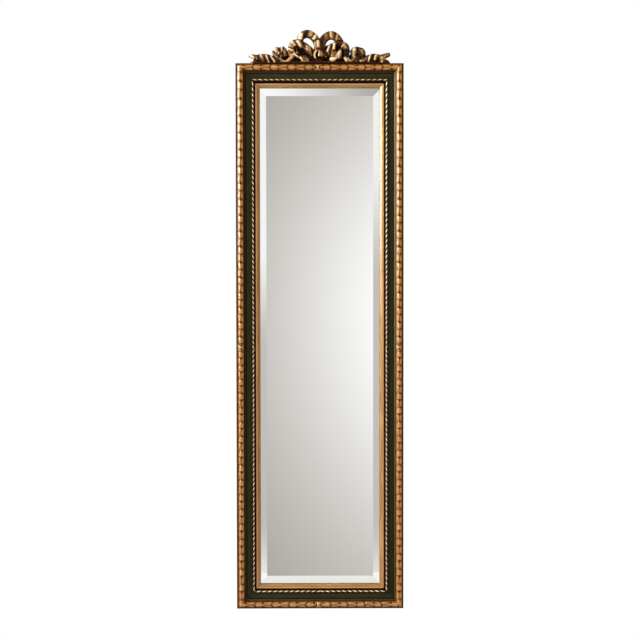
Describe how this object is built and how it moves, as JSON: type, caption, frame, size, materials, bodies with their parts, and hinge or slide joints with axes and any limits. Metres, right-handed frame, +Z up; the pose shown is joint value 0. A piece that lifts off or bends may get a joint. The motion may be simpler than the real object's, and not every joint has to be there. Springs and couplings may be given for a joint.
{
  "type": "full-length mirror",
  "caption": "Tall bevelled wall mirror in a dark green and gilt mitred frame with leaf and rope mouldings and a carved ribbon bow on top.",
  "frame": {"origin": "on the wall, midway between the pivots of the two hanging rings", "axes": "+Z up the mirror, +Y into the wall so that the mirror faces -Y, +X to the right for someone who faces it"},
  "size_m": [0.4, 0.043, 1.385],
  "materials": {
    "painted_rail": "dark green painted frieze with dark brown outer edge, satin",
    "gilt_leaf": "gold leaf on carved wood, dark patina in the recesses",
    "gilt_rope": "gold leaf on a carved rope, dark patina in the recesses",
    "gilt_slip": "plain worn gold leaf",
    "gilt_crest": "gold leaf on carved wood, dark patina in the recesses",
    "silvered_glass": "silvered float glass with a polished bevel",
    "backboard": "brown hardboard",
    "block_rubber": "black rubber block",
    "packer_card": "pale packing plastic",
    "nail_steel": "bright spring steel",
    "button_zinc": "zinc-plated steel",
    "screw_steel": "zinc-plated steel",
    "hanger_steel": "yellow zinc-plated steel",
    "ring_steel": "yellow zinc-plated steel wire",
    "bumper_rubber": "soft black rubber",
    "dowel_wood": "beech dowel"
  },
  "bodies": {
    "frame": {"rail_top": "painted_rail", "leaf_strip_top": "gilt_leaf", "rope_strip_top": "gilt_rope", "slip_top": "gilt_slip", "rail_right": "painted_rail", "leaf_strip_right": "gilt_leaf", "rope_strip_right": "gilt_rope", "slip_right": "gilt_slip", "rail_bottom": "painted_rail", "leaf_strip_bottom": "gilt_leaf", "rope_strip_bottom": "gilt_rope", "slip_bottom": "gilt_slip", "rail_left": "painted_rail", "leaf_strip_left": "gilt_leaf", "rope_strip_left": "gilt_rope", "slip_left": "gilt_slip", "mirror_glass": "silvered_glass", "backboard": "backboard", "setting_blocks": "block_rubber", "side_packers": "packer_card", "corner_v_nails": "nail_steel", "turn_button_screws": "screw_steel", "hanger_strap_left": "hanger_steel", "wall_bumper_left": "bumper_rubber", "hanger_strap_right": "hanger_steel", "wall_bumper_right": "bumper_rubber", "hanger_screws": "screw_steel", "crest_carving": "gilt_crest", "crest_dowels": "dowel_wood"},
    "turn_button_left_top": {"turn_button_left_top": "button_zinc"},
    "turn_button_left_middle": {"turn_button_left_middle": "button_zinc"},
    "turn_button_left_bottom": {"turn_button_left_bottom": "button_zinc"},
    "turn_button_right_top": {"turn_button_right_top": "button_zinc"},
    "turn_button_right_middle": {"turn_button_right_middle": "button_zinc"},
    "turn_button_right_bottom": {"turn_button_right_bottom": "button_zinc"},
    "hanging_ring_left": {"hanging_ring_left": "ring_steel"},
    "hanging_ring_right": {"hanging_ring_right": "ring_steel"}
  },
  "joints": [
    {"name": "turn_button_left_top_turn", "type": "hinge", "parent": "frame", "child": "turn_button_left_top", "pos_m": [-0.1655, -0.009, 0.125], "axis": [0, 1, 0], "continuous": true},
    {"name": "turn_button_left_middle_turn", "type": "hinge", "parent": "frame", "child": "turn_button_left_middle", "pos_m": [-0.1655, -0.009, -0.3975], "axis": [0, 1, 0], "continuous": true},
    {"name": "turn_button_left_bottom_turn", "type": "hinge", "parent": "frame", "child": "turn_button_left_bottom", "pos_m": [-0.1655, -0.009, -0.92], "axis": [0, 1, 0], "continuous": true},
    {"name": "turn_button_right_top_turn", "type": "hinge", "parent": "frame", "child": "turn_button_right_top", "pos_m": [0.1655, -0.009, 0.125], "axis": [0, 1, 0], "continuous": true},
    {"name": "turn_button_right_middle_turn", "type": "hinge", "parent": "frame", "child": "turn_button_right_middle", "pos_m": [0.1655, -0.009, -0.3975], "axis": [0, 1, 0], "continuous": true},
    {"name": "turn_button_right_bottom_turn", "type": "hinge", "parent": "frame", "child": "turn_button_right_bottom", "pos_m": [0.1655, -0.009, -0.92], "axis": [0, 1, 0], "continuous": true},
    {"name": "hanging_ring_left_swing", "type": "hinge", "parent": "frame", "child": "hanging_ring_left", "pos_m": [-0.179, -0.0052, 0], "axis": [1, 0, 0], "range_deg": [0, 180]},
    {"name": "hanging_ring_right_swing", "type": "hinge", "parent": "frame", "child": "hanging_ring_right", "pos_m": [0.179, -0.0052, 0], "axis": [1, 0, 0], "range_deg": [0, 180]}
  ]
}
